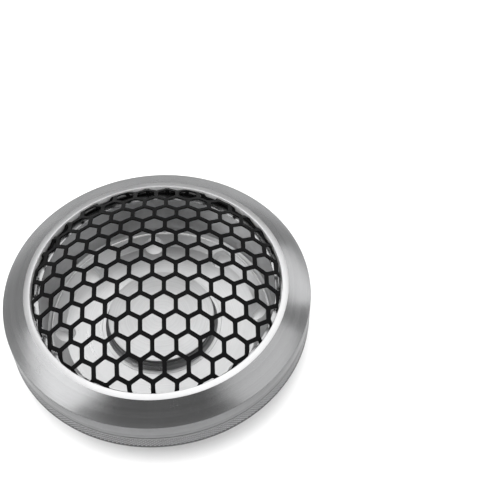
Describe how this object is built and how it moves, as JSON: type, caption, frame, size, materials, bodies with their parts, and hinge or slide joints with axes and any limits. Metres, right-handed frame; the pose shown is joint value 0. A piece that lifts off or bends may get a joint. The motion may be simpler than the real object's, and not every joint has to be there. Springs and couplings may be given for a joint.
{
  "type": "car tweeter",
  "caption": "Round aluminium car tweeter: domed hexagonal grille in a bezel, knurled lock ring, vented conical cup and a flat-diaphragm driver in its floor.",
  "frame": {"origin": "centre of the flat rear face, on the axis that every turned piece shares", "axes": "+Z along the axis, out through the grille, the way the sound goes; the part stands on its rear face. X and Y are equal by symmetry"},
  "size_m": [0.072, 0.072, 0.0308],
  "materials": {
    "turned_aluminium": "fine turned, clear anodised satin",
    "knurled_aluminium": "fine diamond knurl, clear anodised",
    "black_mesh": "black satin coating",
    "plated_steel": "zinc plated",
    "magnet_nickel": "nickel plated",
    "copper": "enamelled copper wire",
    "brass": "plain brass",
    "rubber": "matt black rubber",
    "felt": "dark felt",
    "board_laminate": "fibre laminate",
    "former_foil": "amber film",
    "red_sleeve": "red wire sleeve",
    "black_sleeve": "black wire sleeve"
  },
  "bodies": {
    "housing": {"rear_cup": "turned_aluminium", "rear_cap": "turned_aluminium", "cap_seal_ring": "rubber", "driver_frame": "turned_aluminium", "frame_screw_1": "plated_steel", "frame_screw_2": "plated_steel", "frame_screw_3": "plated_steel", "yoke": "plated_steel", "magnet": "magnet_nickel", "top_plate": "plated_steel", "damping_felt": "felt", "surround": "rubber", "terminal_board": "board_laminate", "terminal_lug_positive": "brass", "terminal_lug_negative": "brass", "lead_wire_positive": "red_sleeve", "lead_wire_negative": "black_sleeve"},
    "grille": {"grille_mesh": "black_mesh", "grille_clamp_ring": "plated_steel", "grille_gasket": "rubber"},
    "front_ring": {"front_ring": "turned_aluminium"},
    "spacer": {"flange_spacer": "turned_aluminium"},
    "lock_ring": {"lock_ring": "knurled_aluminium"},
    "diaphragm": {"diaphragm": "turned_aluminium", "voice_coil_former": "former_foil", "voice_coil_winding": "copper"}
  },
  "joints": [
    {"name": "front_ring_lift", "type": "slide", "parent": "housing", "child": "grille", "axis": [0, 0, 1], "range_m": [0, 0.002]},
    {"name": "front_ring_turn", "type": "hinge", "parent": "grille", "child": "front_ring", "pos_m": [0, 0, 0.0167], "axis": [0, 0, 1], "range_deg": [0, 720]},
    {"name": "lock_ring_travel", "type": "slide", "parent": "housing", "child": "spacer", "axis": [0, 0, 1], "range_m": [-0.004, 0]},
    {"name": "lock_ring_turn", "type": "hinge", "parent": "spacer", "child": "lock_ring", "pos_m": [0, 0, 0.0096], "axis": [0, 0, 1], "range_deg": [-1440, 0]},
    {"name": "diaphragm_travel", "type": "slide", "parent": "housing", "child": "diaphragm", "axis": [0, 0, 1], "range_m": [-0.0003, 0.0003], "stiffness_N_per_m": 400, "deforming": ["surround"]}
  ],
  "couplings": [
    {"joint": "front_ring_lift", "follows": "front_ring_turn", "m_per_rad": 0.00015915},
    {"joint": "lock_ring_travel", "follows": "lock_ring_turn", "m_per_rad": 0.00015915}
  ]
}
